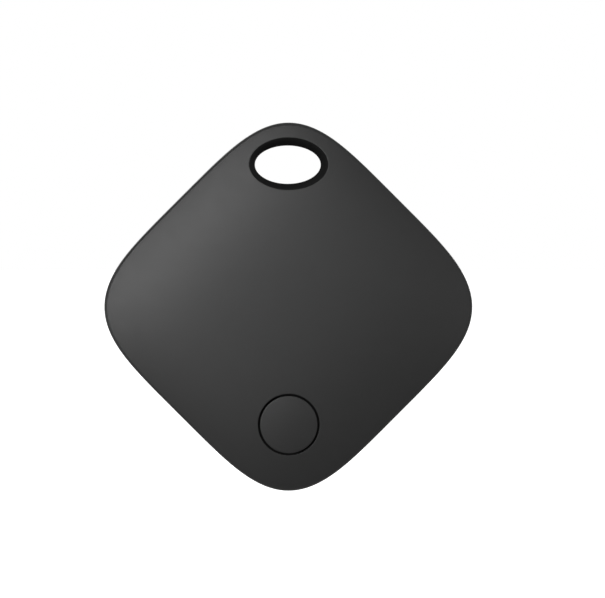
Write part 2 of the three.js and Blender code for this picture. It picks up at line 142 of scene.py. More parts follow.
# ---------------------------------------------------------------- curves of the case
def outline_norm(u, v):
    return (abs(u) ** OUTLINE_POWER + abs(v) ** OUTLINE_POWER) ** (1 / OUTLINE_POWER)


def outline(half):
    """The case outline, a superellipse stood on its corner."""
    points = []
    for i in range(OUTLINE_POINTS):
        angle = 2 * math.pi * i / OUTLINE_POINTS
        points.append(outline_point(half, angle))
    return points


def outline_point(half, angle):
    turned = angle - math.pi / 4
    reach = half / outline_norm(math.cos(turned), math.sin(turned))
    return (reach * math.cos(angle), reach * math.sin(angle))


def circle(radius, centre, count=OVAL_POINTS):
    angles = [2 * math.pi * i / count for i in range(count)]
    return [(centre[0] + radius * math.cos(a), centre[1] + radius * math.sin(a)) for a in angles]


def notched_loop(half, long, short):
    """The outline with the key eye's oval kept out of it, as one loop."""
    low, high = math.pi / 4, math.pi / 2
    for _ in range(40):
        middle = (low + high) / 2
        x, y = outline_point(half, middle)
        outside = (x / long) ** 2 + ((y - EYE_Y) / short) ** 2 > 1
        low, high = (middle, high) if outside else (low, middle)
    x, y = outline_point(half, low)
    side = math.atan2((y - EYE_Y) / short, x / long)
    around = OUTLINE_POINTS - OVAL_POINTS // 2
    sweep = math.pi + 2 * low
    points = [outline_point(half, math.pi - low + sweep * i / around) for i in range(around)]
    for i in range(OVAL_POINTS):
        angle = side - (math.pi + 2 * side) * i / OVAL_POINTS
        points.append((long * math.cos(angle), EYE_Y + short * math.sin(angle)))
    return points


def lip_outline(inset):
    """The outline of the cover's lip, so far in from its outer face."""
    half = CAVITY_HALF - LIP_FIT - inset
    return notched_loop(half, EYE_TUBE_LONG + TUBE_FIT + inset, EYE_TUBE_SHORT + TUBE_FIT + inset)


def dome_fall(x, y):
    u = (x + y) * math.sqrt(0.5) / HALF_FLATS
    v = (y - x) * math.sqrt(0.5) / HALF_FLATS
    return DOME_ROUND * (u ** 2 + v ** 2) + DOME_EDGE * (u ** 4 + v ** 4)


def front_z(x, y):
    return THICKNESS - dome_fall(x, y)


def ceiling_z(x, y):
    return THICKNESS - WALL - dome_fall(x, y)


def flat(z):
    return lambda x, y: z


# ---------------------------------------------------------------- surfaces
def inside(points, loop):
    """Which of the points are inside the loop, by crossings."""
    px, py = points[:, 0, None], points[:, 1, None]
    ax, ay = np.array(loop).T
    bx, by = np.roll(ax, -1), np.roll(ay, -1)
    straddles = (ay > py) != (by > py)
    with np.errstate(divide="ignore", invalid="ignore"):
        crossing = ax + (py - ay) * (bx - ax) / (by - ay)
    return (straddles & (px < crossing)).sum(axis=1) % 2 == 1


def within(points, borders):
    """Which of the points are inside the first border and outside the others."""
    keep = inside(points, borders[0])
    for border in borders[1:]:
        keep &= ~inside(points, border)
    return keep


def off_edges(points, edges, gap):
    """The points at least a gap away from every edge point."""
    return points[[np.hypot(*(edges - point).T).min() > gap for point in points]]


class Skin:
    """A closed surface grown from loops of points in the drawing frame."""

    def __init__(self):
        self.mesh = bmesh.new()

    def loop(self, points, height):
        """A loop of vertices over plane points, at a height or on a surface."""
        surface = height if callable(height) else flat(height)
        return [self.mesh.verts.new((x, y, surface(x, y))) for x, y in points]

    def bridge(self, first, second, finish=0):
        """A ring of faces between two loops, in the piece's material of that number."""
        count = len(first)
        for i in range(count):
            j = (i + 1) % count
            face = self.mesh.faces.new((first[i], first[j], second[j], second[i]))
            face.material_index = finish

    def bridges(self, loops):
        """Rings of faces along a row of loops."""
        for first, second in zip(loops, loops[1:]):
            self.bridge(first, second)

    def cap(self, loop):
        self.mesh.faces.new(loop)

    def fill(self, outer, holes, height, spacing, rounds=()):
        """Triangles between a loop and the holes in it, with new points on the surface inside.

        rounds are points wanted as they are, in place of the grid near them."""
        loops = [outer, *holes]
        borders = [[(v.co.x, v.co.y) for v in loop] for loop in loops]
        border_verts = [v for loop in loops for v in loop]
        edges = []
        start = 0
        for loop in loops:
            count = len(loop)
            edges += [(start + i, start + (i + 1) % count) for i in range(count)]
            start += count
        plane = [point for border in borders for point in border]
        new_points = self.grid(borders, spacing, rounds)
        plane += [tuple(point) for point in new_points]
        surface = height if callable(height) else flat(height)
        verts = border_verts + [self.mesh.verts.new((x, y, surface(x, y))) for x, y in new_points]
        result = delaunay_2d_cdt([Vector(p) for p in plane], edges, [], 0, 1e-7)
        sources = [source[0] for source in result[3]]
        triangles = np.array([[sources[i] for i in face] for face in result[2]])
        middles = np.array(plane)[triangles].mean(axis=1)
        for triangle in triangles[within(middles, borders)]:
            self.mesh.faces.new([verts[i] for i in triangle])

    @staticmethod
    def grid(borders, spacing, rounds):
        """Points on a triangular grid inside the borders and off their edges."""
        outer = np.array(borders[0])
        low, high = outer.min(axis=0), outer.max(axis=0)
        rows = np.arange(low[1], high[1], spacing * math.sqrt(0.75))
        columns = np.arange(low[0], high[0], spacing)
        x, y = np.meshgrid(columns, rows)
        x = x + (np.arange(len(rows)) % 2)[:, None] * spacing / 2
        points = np.stack([x.ravel(), y.ravel()], axis=1)
        points = points[within(points, borders)]
        edges = np.array([point for border in borders for point in border])
        if not len(rounds):
            return off_edges(points, edges, 0.6 * spacing)
        wanted = np.array(rounds)
        wanted = off_edges(wanted[within(wanted, borders)], edges, 0.15)
        points = off_edges(points, np.concatenate([edges, wanted]), 0.6 * spacing)
        return np.concatenate([points, wanted])

    def piece(self, name, material, body, slot, nodes=(), extra=()):
        return make_piece(name, self.mesh, material, body, nodes, extra=extra)


def new_object(name, data):
    """An object in the scene that holds the data."""
    thing = bpy.data.objects.new(name, data)
    bpy.context.scene.collection.objects.link(thing)
    return thing


def make_piece(name, mesh, material, body, nodes=(), transform=WORLD, extra=()):
    """Turns a bmesh into a finished piece that rides on a body; extra are its further materials."""
    bmesh.ops.recalc_face_normals(mesh, faces=mesh.faces)
    for face in mesh.faces:
        face.smooth = True
    for edge in mesh.edges:
        if len(edge.link_faces) == 2 and edge.calc_face_angle() > CREASE:
            edge.smooth = False
    data = bpy.data.meshes.new(name)
    mesh.to_mesh(data)
    mesh.free()
    data.transform(transform)
    for finish in (material, *extra):
        data.materials.append(finish)
    piece = new_object(name, data)
    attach(piece, body)
    if nodes:
        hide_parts(*nodes)
    return piece


def quarter(inset, rise, steps=8):
    """(inset, rise) pairs round a quarter of an ellipse, from the foot of the wall to the face."""
    angles = [RIGHT_ANGLE * i / steps for i in range(steps + 1)]
    return [(inset * (1 - math.cos(a)), rise * math.sin(a)) for a in angles]


# ---------------------------------------------------------------- materials
def node_material(name, roughness, metallic=0.0, **sockets):
    material = bpy.data.materials.new(name)
    material.use_nodes = True
    shader = material.node_tree.nodes["Principled BSDF"]
    shader.inputs["Roughness"].default_value = roughness
    shader.inputs["Metallic"].default_value = metallic
    for socket, value in sockets.items():
        shader.inputs[socket.replace("_", " ")].default_value = value
    return material, shader


def add_node(material, kind, **inputs):
    node = material.node_tree.nodes.new(kind)
    for socket, value in inputs.items():
        node.inputs[socket.replace("_", " ")].default_value = value
    return node


def link(material, source, target):
    material.node_tree.links.new(source, target)


def noise(material, size_mm, detail):
    """Noise with features of about that size, in object space."""
    place = add_node(material, "ShaderNodeTexCoord")
    texture = add_node(material, "ShaderNodeTexNoise", Scale=1 / (size_mm * MM), Detail=detail)
    link(material, place.outputs["Object"], texture.inputs["Vector"])
    return texture.outputs["Fac"]


NOISE_LOW = 0.3  # the part of a noise field that is spread over the whole variation
NOISE_HIGH = 0.7


def vary_colour(material, shader, field, dark, light):
    ramp = add_node(material, "ShaderNodeValToRGB")
    ramp.color_ramp.elements[0].position = NOISE_LOW
    ramp.color_ramp.elements[1].position = NOISE_HIGH
    ramp.color_ramp.elements[0].color = (*dark, 1)
    ramp.color_ramp.elements[1].color = (*light, 1)
    link(material, field, ramp.inputs["Fac"])
    link(material, ramp.outputs["Color"], shader.inputs["Base Color"])


def vary_roughness(material, shader, field, low, high):
    spread = add_node(material, "ShaderNodeMapRange", From_Min=NOISE_LOW, From_Max=NOISE_HIGH)
    spread.inputs["To Min"].default_value = low
    spread.inputs["To Max"].default_value = high
    link(material, field, spread.inputs["Value"])
    link(material, spread.outputs["Result"], shader.inputs["Roughness"])


def add_bump(material, shader, field, height_mm):
    bump = add_node(material, "ShaderNodeBump", Strength=1.0, Distance=height_mm * MM)
    link(material, field, bump.inputs["Height"])
    link(material, bump.outputs["Normal"], shader.inputs["Normal"])


def moulded(name, grey, roughness, grain_mm=0.09, grain_height=0.0012, mottle=0.06, **sockets):
    """Moulded plastic with a fine spark-eroded grain and a faint mottle."""
    material, shader = node_material(name, roughness, **sockets)
    shade = grey if isinstance(grey, tuple) else (grey, grey, grey)
    dark = tuple((1 - mottle) * c for c in shade)
    light = tuple((1 + mottle) * c for c in shade)
    vary_colour(material, shader, noise(material, 2.5, 4), dark, light)
    vary_roughness(material, shader, noise(material, 1.4, 3), roughness - mottle / 2, roughness + mottle / 2)
    add_bump(material, shader, noise(material, grain_mm, 2), grain_height)
    return material


def metal(name, colour, roughness):
    """Plated or rolled metal with fine marks."""
    material, shader = node_material(name, roughness, 1.0)
    dark = tuple(0.93 * c for c in colour)
    vary_colour(material, shader, noise(material, 1.2, 4), dark, colour)
    marks = noise(material, 0.25, 3)
    vary_roughness(material, shader, marks, roughness - 0.05, roughness + 0.06)
    add_bump(material, shader, marks, 0.0005)
    return material


case_plastic = moulded("satin_case_plastic", 0.030, 0.36, mottle=0.02)
button_plastic = moulded("satin_button_plastic", 0.030, 0.36, mottle=0.02)
# The case's own black but with no reflection at all: painted shade on the walls of the key eye and of the
# button's groove.
shade_wall_plastic = moulded("matt_painted_shade_plastic", 0.034, 0.6, Specular_IOR_Level=0.0)
seal_silicone = moulded("grey_silicone", (0.045, 0.05, 0.055), 0.65)
holder_plastic = moulded("holder_nylon", (0.014, 0.014, 0.016), 0.55)
plunger_plastic = moulded("plunger_nylon", (0.7, 0.68, 0.63), 0.5)
chip_resin = moulded("moulded_chip_resin", (0.012, 0.012, 0.013), 0.5)
ferrite_grey = moulded("ferrite_grey", (0.045, 0.047, 0.053), 0.7, 0.12, 0.004)
capacitor_tan = moulded("capacitor_ceramic", (0.33, 0.2, 0.09), 0.45)
piezo_white = moulded("piezo_ceramic", (0.68, 0.65, 0.57), 0.5)
adhesive_cream = moulded("adhesive_cream", (0.58, 0.56, 0.5), 0.6)
gasket_grey = moulded("gasket_grey", (0.25, 0.26, 0.27), 0.5)
cathode_black = moulded("cathode_black", (0.02, 0.02, 0.023), 0.9)
separator_white = moulded("separator_white", (0.8, 0.78, 0.74), 0.9)
foam_grey = moulded("foam_grey", (0.09, 0.1, 0.105), 0.95, 0.35, 0.06)
cell_steel = metal("cell_steel", (0.62, 0.63, 0.64), 0.32)
plated_steel = metal("plated_steel", (0.6, 0.6, 0.61), 0.25)
spring_steel = metal("spring_steel", (0.55, 0.55, 0.56), 0.3)
lithium_grey = metal("lithium_grey", (0.4, 0.42, 0.44), 0.5)
buzzer_brass = metal("buzzer_brass", (0.72, 0.52, 0.2), 0.3)
trace_copper = metal("trace_copper", (0.8, 0.42, 0.22), 0.35)
gold_plate = metal("gold_plate", (0.83, 0.62, 0.28), 0.25)
solder_tin = metal("solder_tin", (0.66, 0.67, 0.69), 0.28)


def solder_mask(name, dark, light):
    """Solder mask, glossy and a little uneven."""
    material, shader = node_material(name, 0.35, Coat_Weight=0.3)
    vary_colour(material, shader, noise(material, 3.0, 3), dark, light)
    vary_roughness(material, shader, noise(material, 1.1, 3), 0.28, 0.42)
    add_bump(material, shader, noise(material, 0.5, 2), 0.004)
    return material


board_green = solder_mask("green_solder_mask", (0.010, 0.062, 0.026), (0.013, 0.075, 0.032))
track_green = solder_mask("green_mask_over_copper", (0.028, 0.135, 0.058), (0.033, 0.150, 0.066))
silk_white = moulded("white_ink", 0.62, 0.6)


# ---------------------------------------------------------------- the key eye
SHADE_WALL_FINISH = 1  # number among a piece's materials of the plastic that paints shade on recess walls


def front_growth(z):
    """How much wider the eye is than its waist, in the front shell."""
    return EYE_FLARE_FRONT * (z - PARTING_Z) / (THICKNESS - PARTING_Z - 0.6)


def rear_growth(z):
    """The same in the rear cover."""
    return EYE_FLARE_REAR * (PARTING_Z - z) / PARTING_Z


def eye_point(angle, growth):
    """A plane point of the eye's wall; upwards it grows by a little more."""
    rise = growth * (1 + EYE_FLARE_TOP * max(0, math.sin(angle)))
    return ((EYE_LONG + growth) * math.cos(angle), EYE_Y + (EYE_SHORT + rise) * math.sin(angle))


def eye_wall(skin, waist_z, surface, growth_at, outward, finish):
    """The wall of one half of the eye, from its waist to a small rim on the face: (waist loop, rim loop)."""
    rims = []
    for i in range(OVAL_POINTS):
        angle = 2 * math.pi * i / OVAL_POINTS
        growth = 0.0
        for _ in range(8):
            growth = growth_at(surface(*eye_point(angle, growth)) - outward * EYE_RIM)
        rims.append((angle, growth, surface(*eye_point(angle, growth)) - outward * EYE_RIM))

    def loop(point_at):
        return [skin.mesh.verts.new(point_at(*rim)) for rim in rims]

    loops = []
    for share in (0, 0.35, 0.7, 0.95, 1):
        def on_wall(angle, growth, top, share=share):
            z = waist_z + share * (top - waist_z)
            return (*eye_point(angle, growth_at(z)), z)
        loops.append(loop(on_wall))
    for inset, rise in [*quarter(EYE_RIM, EYE_RIM, 5)[1:], (EYE_RIM + 0.06, EYE_RIM)]:
        def on_rim(angle, growth, top, inset=inset, rise=rise):
            x, y = eye_point(angle, growth + inset)
            return (x, y, surface(x, y) - outward * (EYE_RIM - rise))
        loops.append(loop(on_rim))
    wall_rings = 6  # the wall and the start of its rim, which take the finish: painted shade in the front shell
    for number, (first, second) in enumerate(zip(loops, loops[1:])):
        skin.bridge(first, second, finish if number < wall_rings else 0)
    return loops[0], loops[-1]


# ---------------------------------------------------------------- front shell
def front_shell():
    skin = Skin()
    side = HALF_FLATS - SIDE_DRAFT
    foot = THICKNESS - FRONT_EDGE

    def outer(half, level):
        """An outline at a level that fades into the dome up the side wall."""
        share = min(max((level - PARTING_Z) / (foot - PARTING_Z), 0), 1)
        return skin.loop(outline(half), lambda x, y: level - share * dome_fall(x, y))

    outer_loops = [
        outer(HALF_FLATS - SHUT_CHAMFER, SHELL_REAR_Z),
        outer(HALF_FLATS, SHELL_REAR_Z + SHUT_CHAMFER),
        outer(HALF_FLATS, SHELL_REAR_Z + SHUT_CHAMFER + 0.1),
    ]
    for share in (0.3, 0.6, 0.9):
        level = SHELL_REAR_Z + share * (foot - SHELL_REAR_Z)
        outer_loops.append(outer(HALF_FLATS - SIDE_DRAFT * share, level))
    for inset, rise in quarter(FRONT_EDGE, FRONT_EDGE):
        outer_loops.append(outer(side - inset, foot + rise))
    outer_loops.append(outer(side - FRONT_EDGE - 0.06, THICKNESS))
    skin.bridges(outer_loops)

    # The front shell's eye wall gets the plastic that paints shade on it.
    eye_waist, eye_rim = eye_wall(skin, SHELL_REAR_Z, front_z, front_growth, 1, SHADE_WALL_FINISH)

    # The button's aperture: from the ceiling up to a small rim on the face.
    pocket_z = FLANGE_TOP_Z + 0.1
    place = (0, BUTTON_Y)
    aperture = [
        skin.loop(circle(FLANGE_RADIUS + 0.3, place), ceiling_z),
        skin.loop(circle(FLANGE_RADIUS + 0.3, place), lambda x, y: max(pocket_z, ceiling_z(x, y) + 0.01)),
        skin.loop(circle(APERTURE_RADIUS, place), lambda x, y: pocket_z + 0.02),
    ]
    for inset, rise in quarter(APERTURE_RIM, APERTURE_RIM, 5):
        depth = APERTURE_RIM - rise
        rim = circle(APERTURE_RADIUS + inset, place)
        aperture.append(skin.loop(rim, lambda x, y, depth=depth: front_z(x, y) - depth))
    aperture.append(skin.loop(circle(APERTURE_RADIUS + APERTURE_RIM + 0.06, place), front_z))
    # The aperture's wall, down in the groove round the button, gets the painted-shade plastic.
    for first, second in zip(aperture, aperture[1:]):
        skin.bridge(first, second, SHADE_WALL_FINISH if second in aperture[2:-4] else 0)

    skin.fill(outer_loops[-1], [eye_rim, aperture[-1]], front_z, 0.5)

    inner = notched_loop(CAVITY_HALF, EYE_TUBE_LONG, EYE_TUBE_SHORT)
    inner_low = skin.loop(inner, SHELL_REAR_Z)
    inner_high = skin.loop(inner, ceiling_z)
    skin.bridge(inner_low, inner_high)
    skin.fill(inner_high, [aperture[0]], ceiling_z, 1.2)
    skin.fill(outer_loops[0], [inner_low, eye_waist], SHELL_REAR_Z, 1.2)
    skin.piece("front_case", case_plastic, "case", "case_plastic", ["front_shell"], [shade_wall_plastic])


# ---------------------------------------------------------------- rear cover
NOTCH_HALF = 3.0
NOTCH_DEPTH = 1.0
NOTCH_LOW_Z = PARTING_Z - 0.9
NOTCH_ENDS = 0.5


def notched(points):
    """The outline with the pry notch pressed into its bottom corner."""
    result = []
    for x, y in points:
        if y < 0 and abs(x) < NOTCH_HALF:
            share = min(1, (NOTCH_HALF - abs(x)) / NOTCH_ENDS)
            y = max(y, y + (-HALF_FLATS * CORNER_RATIO + NOTCH_DEPTH - y) * share * share * (3 - 2 * share))
        result.append((x, y))
    return result


def rear_z(x, y):
    """The rear face, flat with an elliptical round towards the outline."""
    u = (x + y) * math.sqrt(0.5)
    v = (y - x) * math.sqrt(0.5)
    past = outline_norm(u, v) - (HALF_FLATS - REAR_EDGE)
    if past <= 0:
        return 0.0
    return REAR_EDGE * (1 - math.sqrt(max(0, 1 - (past / REAR_EDGE) ** 2)))


REAR_FACE_HALF = HALF_FLATS - 0.8
REAR_ROUND_INSETS = (0.65, 0.52, 0.4, 0.3)  # outlines between the rear face and the pry notch
REAR_BAND = (0, 0.2, 0.4, 0.6, 0.8, 1.0, 1.2)  # rounds of points where the rear face starts to curve
NOTCH_STEP = 0.03


def rear_cover():
    skin = Skin()
    outer_loops = [skin.loop(outline(REAR_FACE_HALF), rear_z)]
    for inset in REAR_ROUND_INSETS:
        half = HALF_FLATS - inset
        if rear_z(half * CORNER_RATIO, 0) < NOTCH_LOW_Z:
            outer_loops.append(skin.loop(outline(half), rear_z))
    edge_half = HALF_FLATS - REAR_EDGE * (1 - math.sqrt(1 - (1 - NOTCH_LOW_Z / REAR_EDGE) ** 2))
    outer_loops.append(skin.loop(outline(edge_half), NOTCH_LOW_Z))
    outer_loops.append(skin.loop(notched(outline(edge_half)), NOTCH_LOW_Z + NOTCH_STEP))
    outer_loops.append(skin.loop(notched(outline(HALF_FLATS)), REAR_EDGE))
    outer_loops.append(skin.loop(notched(outline(HALF_FLATS)), COVER_FRONT_Z - SHUT_CHAMFER))
    outer_loops.append(skin.loop(notched(outline(HALF_FLATS - SHUT_CHAMFER)), COVER_FRONT_Z))
    skin.bridges(outer_loops)
    eye_waist, eye_rim = eye_wall(skin, COVER_FRONT_Z, rear_z, rear_growth, -1, 0)
    rounds = [point for past in REAR_BAND for point in outline(HALF_FLATS - REAR_EDGE + past)]
    skin.fill(outer_loops[0], [eye_rim], rear_z, 0.7, rounds)

    def lip(inset, z):
        return skin.loop(lip_outline(inset), z)

    lip_loops = [
        lip(0, COVER_FRONT_Z), lip(0, SEAL_LOW_Z), lip(SEAL_DEPTH, SEAL_LOW_Z),
        lip(SEAL_DEPTH, SEAL_HIGH_Z), lip(0, SEAL_HIGH_Z), lip(0, LIP_TOP_Z - 0.15),
        lip(0.15, LIP_TOP_Z), lip(LIP_THICK - 0.1, LIP_TOP_Z), lip(LIP_THICK, LIP_TOP_Z - 0.1),
        lip(LIP_THICK, WALL + 0.2), lip(LIP_THICK + 0.2, WALL),
    ]
    skin.bridges(lip_loops)
    skin.fill(outer_loops[-1], [lip_loops[0], eye_waist], COVER_FRONT_Z, 1.2)

    place = (0, BUTTON_Y)
    post_top = board_low.z - 0.03
    profile = [(1.45, WALL), (1.3, WALL + 0.15), (1.3, post_top - 0.1), (1.2, post_top)]
    post = [skin.loop(circle(radius, place, 32), z) for radius, z in profile]
    skin.bridges(post)
    skin.cap(post[-1])
    skin.fill(lip_loops[-1], [post[0]], WALL, 1.2)
    skin.piece("rear_case", case_plastic, "cover", "case_plastic", ["rear_cover"])


# ---------------------------------------------------------------- button
def button():
    skin = Skin()
    place = (0, BUTTON_Y)
    rim_z = front_z(0, BUTTON_Y) - 0.1
    edge = 0.08
    crown = 0.06
    lean = 0.6  # share of the dome's slope that the cap takes on
    slope_foot = 7.15
    flange_low = FLANGE_TOP_Z - 0.35
    nub_radius, nub_z = 0.65, 6.62
    hollow_radius, hollow_z = 2.7, 7.0

    def ring(radius, z):
        """A circle of the cap; above the slope's foot it leans with the case, but by less."""
        if z <= slope_foot:
            return skin.loop(circle(radius, place), z)
        middle = dome_fall(0, BUTTON_Y)
        return skin.loop(circle(radius, place), lambda x, y: z - lean * (dome_fall(x, y) - middle))

    loops = [
        ring(nub_radius, nub_z), ring(nub_radius, hollow_z),
        ring(hollow_radius, hollow_z), ring(hollow_radius, flange_low),
        ring(FLANGE_RADIUS, flange_low), ring(FLANGE_RADIUS, FLANGE_TOP_Z), ring(BUTTON_RADIUS, FLANGE_TOP_Z),
        ring(BUTTON_RADIUS, slope_foot + 0.05), ring(BUTTON_RADIUS, rim_z - edge),
    ]
    skirt = loops[5:]
    for inset, rise in quarter(edge, edge, 6)[1:]:
        loops.append(ring(BUTTON_RADIUS - inset, rim_z - edge + rise))
    face = BUTTON_RADIUS - edge
    for share in (0.97, 0.85, 0.7, 0.5, 0.3, 0.1):
        loops.append(ring(face * share, rim_z + crown * (1 - share ** 2)))
    # The button's sides and flange, down in its groove, get the painted-shade plastic.
    for first, second in zip(loops, loops[1:]):
        skin.bridge(first, second, SHADE_WALL_FINISH if first in skirt else 0)
    skin.cap(loops[0])
    skin.cap(loops[-1])
    skin.piece("press_button", button_plastic, "button", "button_plastic", ["button_cap"], [shade_wall_plastic])


front_shell()
rear_cover()
button()


# ---------------------------------------------------------------- turned pieces
def softened(corners, radius):
    """A closed profile with its corners rounded, by less where a side is short."""
    steps = 3
    points = [Vector(corner) for corner in corners]
    result = []
    for i, corner in enumerate(points):
        back = points[i - 1] - corner
        ahead = points[(i + 1) % len(points)] - corner
        reach = min(radius, 0.45 * back.length, 0.45 * ahead.length)
        start = corner + back.normalized() * reach
        end = corner + ahead.normalized() * reach
        for step in range(steps + 1):
            share = step / steps
            point = start * (1 - share) ** 2 + corner * 2 * share * (1 - share) + end * share ** 2
            result.append(tuple(point))
    return result


def turned(profile, centre, closed=False, facets=OVAL_POINTS):
    """A skin turned about an axis along z: a solid between two flat ends, or a closed ring."""
    skin = Skin()
    loops = [skin.loop(circle(radius, centre, facets), z) for radius, z in profile]
    skin.bridges(loops)
    if closed:
        skin.bridge(loops[-1], loops[0])
    else:
        skin.cap(loops[0])
        skin.cap(loops[-1])
    return skin


FIXING_REACH = 15.4
HIDDEN_Z = 6.9  # where what stands on the front wall ends inside it


def on_flat(number):
    angle = math.pi / 4 + number * RIGHT_ANGLE
    return (FIXING_REACH * math.cos(angle), FIXING_REACH * math.sin(angle))


def stake(number, centre):
    """A heat stake of the front shell, its head melted over the board."""
    head = board_low.z - 0.03
    profile = [(0.1, head - 0.42), (0.45, head - 0.41), (0.8, head - 0.3), (1.0, head - 0.12), (1.0, head)]
    shaft = [(0.6, head), (0.6, HIDDEN_Z), (0.1, HIDDEN_Z)]
    skin = turned([*profile, *shaft], centre, facets=32)
    skin.piece(f"heat_stake_{number}", case_plastic, "case", "case_plastic")


def screw_boss(number, centre):
    """The tube of the front shell that a board screw bites into."""
    low = board_high.z + 0.03
    profile = softened([(0.75, low), (1.9, low), (1.9, HIDDEN_Z), (0.75, HIDDEN_Z)], 0.1)
    boss = turned(profile, centre, closed=True, facets=48)
    boss.piece(f"screw_boss_{number}", case_plastic, "case", "case_plastic")


def cross(long, wide, centre):
    """The outline of a cross recess."""
    arm = [(long, -wide), (long, wide), (wide, wide)]
    points = []
    for turn in range(4):
        spin = Matrix.Rotation(turn * RIGHT_ANGLE, 2)
        points += [tuple(spin @ Vector(point) + Vector(centre)) for point in arm]
    return points


def board_screw(number, centre):
    """A pan-head screw with a cross recess and the crests of its thread."""
    skin = Skin()
    head = board_low.z - 0.03
    top = head - 0.5
    pan = [(0.9, top), (1.05, top + 0.03), (1.18, top + 0.12), (1.25, top + 0.25), (1.25, head), (0.65, head)]
    crests = []
    z = head + 0.9
    while z < 6.6:
        crests += [(0.55, z), (0.68, z + 0.1), (0.68, z + 0.14)]
        z += 0.28
    tip = [(0.55, 6.7), (0.35, 7.0)]
    loops = [skin.loop(circle(radius, centre, 40), z) for radius, z in [*pan, *crests, *tip]]
    skin.bridges(loops)
    skin.cap(loops[-1])
    mouth = skin.loop(cross(0.72, 0.15, centre), top)
    bottom = skin.loop(cross(0.4, 0.12, centre), top + 0.32)
    skin.fill(loops[0], [mouth], top, 0.5)
    skin.bridge(mouth, bottom)
    skin.fill(bottom, [], top + 0.32, 0.5)
    skin.piece(f"pan_screw_{number}", plated_steel, "case", "plated_steel", [f"board_screw_{number}"])


def buzzer_seat():
    """The raised ring of the front shell that the buzzer is glued to."""
    inner, outer = 6.2, 7.7
    low, high = 6.95, 7.25
    seat = turned([(inner, low), (outer, low), (outer, high), (inner, high)], (0, 1.5), closed=True)
    seat.piece("buzzer_seat", case_plastic, "case", "case_plastic")


CELL_CENTRE = (0, (cell_low.y + cell_high.y) / 2)
CELL_RADIUS = (cell_high.x - cell_low.x) / 2


def cell_can():
    """The cell's can, a drawn cup with a shallow step round its face and its rim crimped over the gasket."""
    low, r = cell_low.z, CELL_RADIUS
    outside = [
        (0.1, low + 0.03), (8.6, low + 0.03), (8.75, low), (r - 0.5, low), (r - 0.3, low + 0.04),
        (r - 0.14, low + 0.13), (r - 0.04, low + 0.28), (r, low + 0.5), (r, low + 2.7),
        (r - 0.08, low + 2.87), (r - 0.25, low + 2.95),
    ]
    inside_can = [
        (r - 0.9, low + 2.95), (r - 0.9, low + 2.75), (r - 0.3, low + 2.7), (r - 0.25, low + 2.5),
        (r - 0.25, low + 0.35), (r - 0.35, low + 0.25), (0.1, low + 0.25),
    ]
    skin = turned([*outside, *inside_can], CELL_CENTRE, facets=144)
    skin.piece("drawn_cell_can", cell_steel, "cell", "cell_steel", ["cell_can"])


def foam_pad():
    """The foam pad on the cover, squeezed a little at its edge."""
    low, high = drawn_box("cell_foam_pad")
    radius = (high.x - low.x) / 2
    top = high.z - low.z
    rise = [(radius - 0.12, 0), (radius, 0.35 * top), (radius - 0.05, 0.7 * top), (radius - 0.2, 0.9 * top)]
    crown = [(radius - 0.5, top), (0.6 * radius, top), (0.1, top)]
    profile = [(0.1, low.z), *[(r, low.z + z) for r, z in [*rise, *crown]]]
    skin = turned(profile, CELL_CENTRE, facets=120)
    pad = skin.piece("foam_pad", foam_grey, "cover", "foam", ["cell_foam_pad"])


def seal():
    """The silicone seal in the lip's groove, with its corners rounded."""
    low, high = SEAL_LOW_Z + 0.03, SEAL_HIGH_Z - 0.03
    corners = [(0.02, low), (0.02, high), (SEAL_DEPTH - 0.03, high), (SEAL_DEPTH - 0.03, low)]
    skin = Skin()
    loops = [skin.loop(lip_outline(inset), z) for inset, z in softened(corners, 0.12)]
    skin.bridges([*loops, loops[0]])
    skin.piece("silicone_seal", seal_silicone, "cover", "seal_silicone", ["case_seal"])


for number, flat_number in ((1, 0), (2, 2)):
    stake(number, on_flat(flat_number))
for number, flat_number in ((1, 1), (2, 3)):
    screw_boss(number, on_flat(flat_number))
    board_screw(number, on_flat(flat_number))
buzzer_seat()
cell_can()
foam_pad()
seal()


# ---------------------------------------------------------------- small board parts
CAPACITORS = [f"capacitor_{i}" for i in range(1, 7)]
RESISTORS = [f"resistor_{i}" for i in range(1, 5)]
ANTENNA_INDUCTORS = ["antenna_inductor_1", "antenna_inductor_2"]
RING_PARTS = [*CAPACITORS, *RESISTORS, *ANTENNA_INDUCTORS, "driver_diode", "motion_sensor"]  # face the cell


